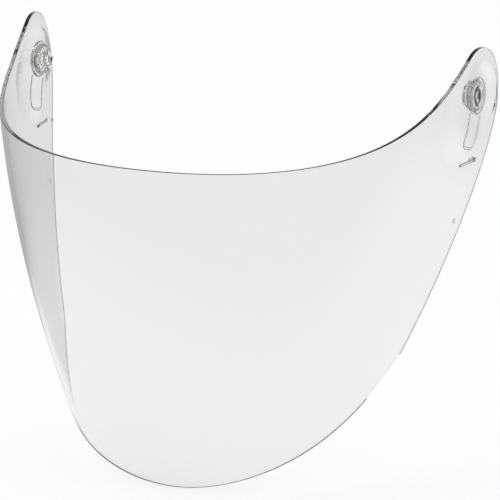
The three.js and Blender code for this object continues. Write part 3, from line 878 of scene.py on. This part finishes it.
def clear_plastic(name, coat, tint, depth, flow_size, flow_height, haze):
    """Clear moulded plastic: tinted at its faces and by depth, with flow waves and fine marks."""
    material, tree, output = new_material(name)
    where = add_node(tree, "ShaderNodeTexCoord").outputs["Object"]
    # slow thickness waves left by the melt as it filled the mould
    flow = add_node(tree, "ShaderNodeTexNoise", {
        "Vector": where, "Scale": 1 / flow_size, "Detail": 1.0, "Roughness": 0.4})
    bump = add_node(tree, "ShaderNodeBump", {
        "Height": flow.outputs["Fac"], "Strength": 1.0, "Distance": flow_height})
    # polishing marks of about 3 mm, too fine to see one by one, give a slightly uneven gloss
    marks = add_node(tree, "ShaderNodeTexNoise", {
        "Vector": where, "Scale": 1 / (3 * MM), "Detail": 3.0, "Roughness": 0.6})
    gloss = add_node(tree, "ShaderNodeMapRange", {
        "Value": marks.outputs["Fac"], "From Min": NOISE_RANGE[0], "From Max": NOISE_RANGE[1],
        "To Min": 0.0, "To Max": haze})
    body = add_node(tree, "ShaderNodeBsdfPrincipled", {
        "Base Color": (*coat, 1), "Roughness": gloss.outputs["Result"], "IOR": 1.585,
        "Transmission Weight": 1.0, "Normal": bump.outputs["Normal"]})
    depth_tint = add_node(tree, "ShaderNodeVolumeAbsorption", {
        "Color": (*tint, 1), "Density": per_metre(tint, depth)})
    tree.links.new(body.outputs["BSDF"], output.inputs["Surface"])
    tree.links.new(depth_tint.outputs["Volume"], output.inputs["Volume"])
    return material


def natural_nylon(finish):
    """Natural nylon, moulded: milky, softly lit through, with a fine spark-eroded grain."""
    material, tree, output = new_material("natural nylon moulded")
    where = add_node(tree, "ShaderNodeTexCoord").outputs["Object"]
    # cloudy patches of about 1.5 mm, a little darker than the rest
    clouded = [0.92 * part for part in finish.nylon]
    cloud = add_node(tree, "ShaderNodeTexNoise", {
        "Vector": where, "Scale": 1 / (1.5 * MM), "Detail": 2.0})
    tone = add_node(tree, "ShaderNodeMix", {
        0: cloud.outputs["Fac"], 6: (*clouded, 1), 7: (*finish.nylon, 1)}, data_type="RGBA")
    # the grain is drawn a few times coarser than its real 0.03 mm, so that it shows
    grain = add_node(tree, "ShaderNodeTexNoise", {
        "Vector": where, "Scale": 1 / (0.12 * MM), "Detail": 2.0})
    bump = add_node(tree, "ShaderNodeBump", {
        "Height": grain.outputs["Fac"], "Strength": 0.5, "Distance": 0.01 * MM})
    body = add_node(tree, "ShaderNodeBsdfPrincipled", {
        "Base Color": tone.outputs[2], "Roughness": 0.42, "IOR": 1.53,
        "Transmission Weight": 0.6, "Normal": bump.outputs["Normal"]})
    tree.links.new(body.outputs["BSDF"], output.inputs["Surface"])
    return material


def soft_silicone(finish):
    """Silicone rubber, moulded: half clear with a soft sheen and a trace of dust."""
    material, tree, output = new_material("silicone rubber moulded")
    where = add_node(tree, "ShaderNodeTexCoord").outputs["Object"]
    # dust clings to the rubber in patches of about 0.8 mm
    dusty = [0.85 * part for part in finish.silicone]
    dust = add_node(tree, "ShaderNodeTexNoise", {
        "Vector": where, "Scale": 1 / (0.8 * MM), "Detail": 3.0})
    tone = add_node(tree, "ShaderNodeMix", {
        0: dust.outputs["Fac"], 6: (*dusty, 1), 7: (*finish.silicone, 1)}, data_type="RGBA")
    body = add_node(tree, "ShaderNodeBsdfPrincipled", {
        "Base Color": tone.outputs[2], "Roughness": 0.25, "IOR": 1.41,
        "Transmission Weight": 0.9})
    tree.links.new(body.outputs["BSDF"], output.inputs["Surface"])
    return material


def clear_sheet_material(scene):
    """Polycarbonate, injection moulded and hard coated: glassy, with a trace of grey in its faces."""
    name = "clear polycarbonate moulded"
    finish = scene.visor_finish
    return bpy.data.materials.get(name) or clear_plastic(
        name, finish.sheet_coat, finish.sheet_tint, finish.sheet_depth,
        flow_size=35 * MM, flow_height=0.03 * MM, haze=0.02)


def clear_hub_material(scene):
    """Hub parts of the same plastic, moulded thick: uncoated, and a little less polished."""
    name = "clear polycarbonate hub"
    finish = scene.visor_finish
    return bpy.data.materials.get(name) or clear_plastic(
        name, finish.hub_coat, finish.hub_tint, finish.hub_depth,
        flow_size=4 * MM, flow_height=0.01 * MM, haze=0.05)


def slot_shaded_plug_material(scene):
    """The hub's plastic with its coin slot painted near black and opaque: painted shade in that
    recess.
    """
    material = clear_hub_material(scene).copy()
    material.name = "clear polycarbonate inked slot"
    tree = material.node_tree
    finish, h = scene.visor_finish, scene.visor_hub
    body = next(node for node in tree.nodes if node.type == "BSDF_PRINCIPLED")
    where = add_node(tree, "ShaderNodeTexCoord").outputs["Object"]
    # the slot's box, a hair larger: beyond its floor along X, and within its walls across it
    hair = h.edge_round / 2
    floor = h.plug_top - h.slot_depth - hair
    box = add_node(tree, "ShaderNodeMapping", {
        "Vector": where,
        "Scale": (floor, h.slot_width / 2 + hair, h.slot_length / 2 + hair)},
        vector_type="TEXTURE")
    size = add_node(tree, "ShaderNodeVectorMath", {0: box.outputs[0]}, operation="ABSOLUTE")
    part = add_node(tree, "ShaderNodeSeparateXYZ", {0: size.outputs[0]}).outputs
    beyond = add_node(tree, "ShaderNodeMath", {0: part["X"], 1: 1.0}, operation="GREATER_THAN")
    widest = add_node(tree, "ShaderNodeMath", {0: part["Y"], 1: part["Z"]}, operation="MAXIMUM")
    within = add_node(tree, "ShaderNodeMath", {0: widest.outputs[0], 1: 1.0}, operation="LESS_THAN")
    slot_shade_mask = add_node(tree, "ShaderNodeMath", {
        0: beyond.outputs[0], 1: within.outputs[0]}, operation="MULTIPLY")
    # painted shade: inside the slot's box the plastic turns near black and is no longer clear
    tone = add_node(tree, "ShaderNodeMix", {
        0: slot_shade_mask.outputs[0], 6: (*finish.hub_coat, 1), 7: (*finish.slot_painted_shade, 1)}, data_type="RGBA")
    clear = add_node(tree, "ShaderNodeMath", {0: 1.0, 1: slot_shade_mask.outputs[0]}, operation="SUBTRACT")
    tree.links.new(tone.outputs[2], body.inputs["Base Color"])
    tree.links.new(clear.outputs[0], body.inputs["Transmission Weight"])
    return material


# Stage

WHITE = (1, 1, 1, 1)
SENSOR_WIDTH_IN_MM = 36
FARTHEST_SEEN = 50
LIT_POINT = (0.0, -0.05, -0.08)

# each lamp's name, its place, its width and height, and its power in watts
LAMPS = (
    ("overhead softbox", (-0.6, -0.8, 4.2), (2.4, 2.4), 45),
    ("left softbox", (-4.2, -1.8, 1.4), (0.9, 2.6), 25),
    ("right softbox", (4.3, 0.2, 1.0), (0.5, 2.6), 18),
)


def seen_directly(tree):
    """1 for rays from the camera, from a mirror reflection or through glass, and 0 for others."""
    path = add_node(tree, "ShaderNodeLightPath").outputs
    either = add_node(tree, "ShaderNodeMath", {
        0: path["Is Camera Ray"], 1: path["Is Glossy Ray"]}, operation="MAXIMUM")
    return add_node(tree, "ShaderNodeMath", {
        0: either.outputs[0], 1: path["Is Transmission Ray"]}, operation="MAXIMUM").outputs[0]


def mirrored(tree):
    """1 for rays that were mirrored on their way, also inside clear plastic, and 0 for others."""
    path = add_node(tree, "ShaderNodeLightPath").outputs
    return add_node(tree, "ShaderNodeMath", {
        0: path["Glossy Depth"], 1: 1.0}, operation="MINIMUM").outputs[0]


def floor_material(sizes):
    """White sweep board: plain white, and part of it keeps its shadow.

    Where the plastic mirrors it, it is an oval pool of light round the visor, set aslant,
    which fades into the darker room.
    """
    material, tree, output = new_material("white sweep board")
    board = add_node(tree, "ShaderNodeBsdfDiffuse", {"Color": (*sizes.board, 1)})
    place = add_node(tree, "ShaderNodeTexCoord").outputs["Object"]
    oval = add_node(tree, "ShaderNodeMapping", {
        "Vector": place, "Location": (sizes.pool_across, sizes.pool_behind, CAD_BOX[0][2]),
        "Rotation": (0.0, 0.0, sizes.pool_turn),
        "Scale": (sizes.pool_half_length, sizes.pool_half_width, 1.0)}, vector_type="TEXTURE")
    away = add_node(tree, "ShaderNodeVectorMath", {0: oval.outputs[0]}, operation="LENGTH")
    pool = add_node(tree, "ShaderNodeMapRange", {
        "Value": away.outputs["Value"], "From Min": sizes.pool_full_share,
        "From Max": sizes.pool_faded_share, "To Min": 1.0, "To Max": sizes.pool_dark_level},
        interpolation_type="SMOOTHSTEP")
    bounced = mirrored(tree)
    level = add_node(tree, "ShaderNodeMix", {0: bounced, 2: 1.0, 3: pool.outputs["Result"]})
    glow = add_node(tree, "ShaderNodeEmission", {
        "Color": WHITE, "Strength": level.outputs[0]})
    glowing = add_node(tree, "ShaderNodeMix", {0: bounced, 2: sizes.floor_glow_share, 3: 1.0})
    part = add_node(tree, "ShaderNodeMath", {
        0: seen_directly(tree), 1: glowing.outputs[0]}, operation="MULTIPLY")
    mixed = add_node(tree, "ShaderNodeMixShader", {
        0: part.outputs[0], 1: board.outputs[0], 2: glow.outputs[0]})
    tree.links.new(mixed.outputs[0], output.inputs["Surface"])
    return material


def studio_sky(scene, sizes):
    """World: even soft light, white where seen straight, and a dark room where mirrored."""
    world = bpy.data.worlds.new("studio")
    world.use_nodes = True
    scene.world = world
    tree = world.node_tree
    tree.nodes.clear()
    output = tree.nodes.new("ShaderNodeOutputWorld")
    way = add_node(tree, "ShaderNodeTexCoord").outputs["Generated"]
    room = add_node(tree, "ShaderNodeVectorMath", {
        0: way, 1: (math.sin(sizes.look_turn), -math.cos(sizes.look_turn), 0.0)},
        operation="DOT_PRODUCT")
    behind = add_node(tree, "ShaderNodeMapRange", {
        "Value": room.outputs["Value"], "From Min": sizes.room_start, "From Max": sizes.room_full,
        "To Min": 1.0, "To Max": sizes.room_level}, interpolation_type="SMOOTHSTEP")
    height = add_node(tree, "ShaderNodeSeparateXYZ", {"Vector": way})
    above = add_node(tree, "ShaderNodeMapRange", {
        "Value": height.outputs["Z"], "From Min": sizes.wall_height,
        "From Max": sizes.ceiling_height, "To Min": sizes.wall_level,
        "To Max": sizes.ceiling_level}, interpolation_type="SMOOTHSTEP")
    darker = add_node(tree, "ShaderNodeMath", {
        0: behind.outputs["Result"], 1: above.outputs["Result"]}, operation="MINIMUM")
    seen = add_node(tree, "ShaderNodeMix", {0: mirrored(tree), 2: 1.0, 3: darker.outputs[0]})
    level = add_node(tree, "ShaderNodeMix", {
        0: seen_directly(tree), 2: sizes.sky_level, 3: seen.outputs[0]})
    sky = add_node(tree, "ShaderNodeBackground", {
        "Color": WHITE, "Strength": level.outputs[0]})
    tree.links.new(sky.outputs[0], output.inputs["Surface"])


def soft_lamp(name, place, size, power):
    """A soft lamp that faces the visor and isn't itself in the picture."""
    data = bpy.data.lights.new(name, "AREA")
    data.shape = "RECTANGLE"
    data.size, data.size_y = size
    data.energy = power
    lamp = bpy.data.objects.new(name, data)
    bpy.context.scene.collection.objects.link(lamp)
    lamp.location = place
    lamp.rotation_euler = (Vector(LIT_POINT) - Vector(place)).to_track_quat("-Z", "Y").to_euler()
    lamp.visible_camera = False


def add_floor(scene, sizes):
    """A square white floor just below the visor."""
    half = sizes.floor_side / 2
    level = CAD_BOX[0][2] - sizes.floor_gap
    data = bpy.data.meshes.new("floor")
    data.from_pydata([(-half, -half, level), (half, -half, level), (half, half, level),
                      (-half, half, level)], [], [(0, 1, 2, 3)])
    data.materials.append(floor_material(sizes))
    floor = bpy.data.objects.new("floor", data)
    scene.collection.objects.link(floor)


def add_camera(scene, sizes):
    """The camera at the photograph's place and viewing angle."""
    data = bpy.data.cameras.new("camera")
    data.lens = sizes.focal_length
    data.sensor_width = SENSOR_WIDTH_IN_MM
    data.clip_end = FARTHEST_SEEN
    camera = bpy.data.objects.new("camera", data)
    scene.collection.objects.link(camera)
    camera.location = (sizes.camera_across, -sizes.camera_ahead, sizes.camera_up)
    camera.rotation_euler = (math.pi / 2 - sizes.look_down, 0, sizes.look_turn)
    scene.camera = camera


# Operators

# scales that make the right piece from the left one
HALF_TURN = (-1, -1, 1)
MIRROR = (-1, 1, 1)


def both_sides(data, scale, material, bodies, replaced=None):
    """Places a left mesh and its copy for the right."""
    right = other_side(data, data.name.replace("left", "right"), scale)
    for mesh, body, side in ((data, bodies[0], "left"), (right, bodies[1], "right")):
        place_piece(mesh, material, body, (f"{side}_{replaced}",) if replaced else ())


class VISOR_OT_clear_sheet(bpy.types.Operator):
    """Builds the clear wrap-around sheet"""
    bl_idname = "visor.clear_sheet"
    bl_label = "Clear sheet"

    def execute(self, context):
        scene = context.scene
        data = sheet_mesh(scene.visor_sheet, scene.visor_steps)
        place_piece(data, clear_sheet_material(scene), "shield", ("shield",),
                    even_shading=False)
        return {"FINISHED"}


class VISOR_OT_moulded_details(bpy.types.Operator):
    """Builds the guides, stop ribs, pegs and nubs on the ears' inner faces"""
    bl_idname = "visor.moulded_details"
    bl_label = "Moulded details"

    def execute(self, context):
        scene = context.scene
        m = scene.visor_moulded
        skin = Skin(scene.visor_sheet, BUSH_BOX[1].x)
        along = np.linspace(-m.stop_length / 2, m.stop_length / 2, m.stop_points)
        for data in (
            rib_mesh("left_guide_rib", skin, guide_route(skin, m), m.guide_rise, m),
            rib_mesh("left_stop_rib", skin, stop_route(skin, m, along), m.stop_rise, m),
            rib_mesh("left_nub", skin, nub_route(skin, m), m.nub_rise, m),
            peg_mesh(skin, m),
        ):
            both_sides(data, MIRROR, clear_sheet_material(scene), ("shield", "shield"))
        return {"FINISHED"}


class VISOR_OT_bushes(bpy.types.Operator):
    """Builds the two pivot bushes"""
    bl_idname = "visor.bushes"
    bl_label = "Pivot bushes"

    def execute(self, context):
        scene = context.scene
        both_sides(bush_mesh(scene.visor_hub), HALF_TURN, clear_hub_material(scene),
                   ("helmet_side", "helmet_side"), "pivot_bush")
        return {"FINISHED"}


class VISOR_OT_friction_rings(bpy.types.Operator):
    """Builds the two friction rings"""
    bl_idname = "visor.friction_rings"
    bl_label = "Friction rings"

    def execute(self, context):
        scene = context.scene
        both_sides(seal_mesh(scene.visor_hub), HALF_TURN, soft_silicone(scene.visor_finish),
                   ("helmet_side", "helmet_side"), "friction_ring")
        return {"FINISHED"}


class VISOR_OT_retaining_clips(bpy.types.Operator):
    """Builds the two retaining clips"""
    bl_idname = "visor.retaining_clips"
    bl_label = "Retaining clips"

    def execute(self, context):
        scene = context.scene
        both_sides(clip_mesh(scene.visor_hub), HALF_TURN, natural_nylon(scene.visor_finish),
                   ("helmet_side", "helmet_side"), "retaining_clip")
        return {"FINISHED"}


class VISOR_OT_plugs(bpy.types.Operator):
    """Builds the two quarter-turn plugs"""
    bl_idname = "visor.plugs"
    bl_label = "Quarter-turn plugs"

    def execute(self, context):
        scene = context.scene
        both_sides(plug_mesh(scene.visor_hub), HALF_TURN, slot_shaded_plug_material(scene),
                   ("left_plug", "right_plug"), "pivot_plug")
        return {"FINISHED"}


class VISOR_OT_stage(bpy.types.Operator):
    """Sets the floor, the lamps and the camera"""
    bl_idname = "visor.stage"
    bl_label = "Stage"

    def execute(self, context):
        scene = context.scene
        sizes = scene.visor_stage
        add_floor(scene, sizes)
        studio_sky(scene, sizes)
        for lamp in LAMPS:
            soft_lamp(*lamp)
        add_camera(scene, sizes)
        scene.view_settings.view_transform = "Standard"
        # light that runs on inside a clear wall is followed as far as light that leaves it
        scene.cycles.glossy_bounces = scene.cycles.max_bounces
        return {"FINISHED"}


OPERATORS = (
    VISOR_OT_clear_sheet,
    VISOR_OT_moulded_details,
    VISOR_OT_bushes,
    VISOR_OT_friction_rings,
    VISOR_OT_retaining_clips,
    VISOR_OT_plugs,
    VISOR_OT_stage,
)
HOLDERS = {
    "visor_sheet": SheetSizes,
    "visor_steps": SheetSteps,
    "visor_moulded": MouldedSizes,
    "visor_hub": HubSizes,
    "visor_finish": Finish,
    "visor_stage": StageSizes,
}


class VISOR_PT_sidebar(bpy.types.Panel):
    """Lists the steps that build the visor, and its values"""
    bl_label = "Clear visor"
    bl_idname = "VISOR_PT_sidebar"
    bl_space_type = "VIEW_3D"
    bl_region_type = "UI"
    bl_category = "Visor"

    def draw(self, context):
        for operator in OPERATORS:
            self.layout.operator(operator.bl_idname)
        for holder, group in HOLDERS.items():
            box = self.layout.box()
            for name in group.__annotations__:
                box.prop(getattr(context.scene, holder), name)


def register():
    """Registers the values, the operators and the panel."""
    for holder, group in HOLDERS.items():
        bpy.utils.register_class(group)
        setattr(bpy.types.Scene, holder, bpy.props.PointerProperty(type=group))
    for item in (*OPERATORS, VISOR_PT_sidebar):
        bpy.utils.register_class(item)


def unregister():
    """Takes them off again."""
    for item in (VISOR_PT_sidebar, *reversed(OPERATORS)):
        bpy.utils.unregister_class(item)
    for holder, group in reversed(HOLDERS.items()):
        delattr(bpy.types.Scene, holder)
        bpy.utils.unregister_class(group)


def main():
    """Builds the visor and its stage."""
    register()
    bpy.ops.visor.clear_sheet()
    bpy.ops.visor.moulded_details()
    bpy.ops.visor.bushes()
    bpy.ops.visor.friction_rings()
    bpy.ops.visor.retaining_clips()
    bpy.ops.visor.plugs()
    bpy.ops.visor.stage()


if __name__ == "__main__":
    main()
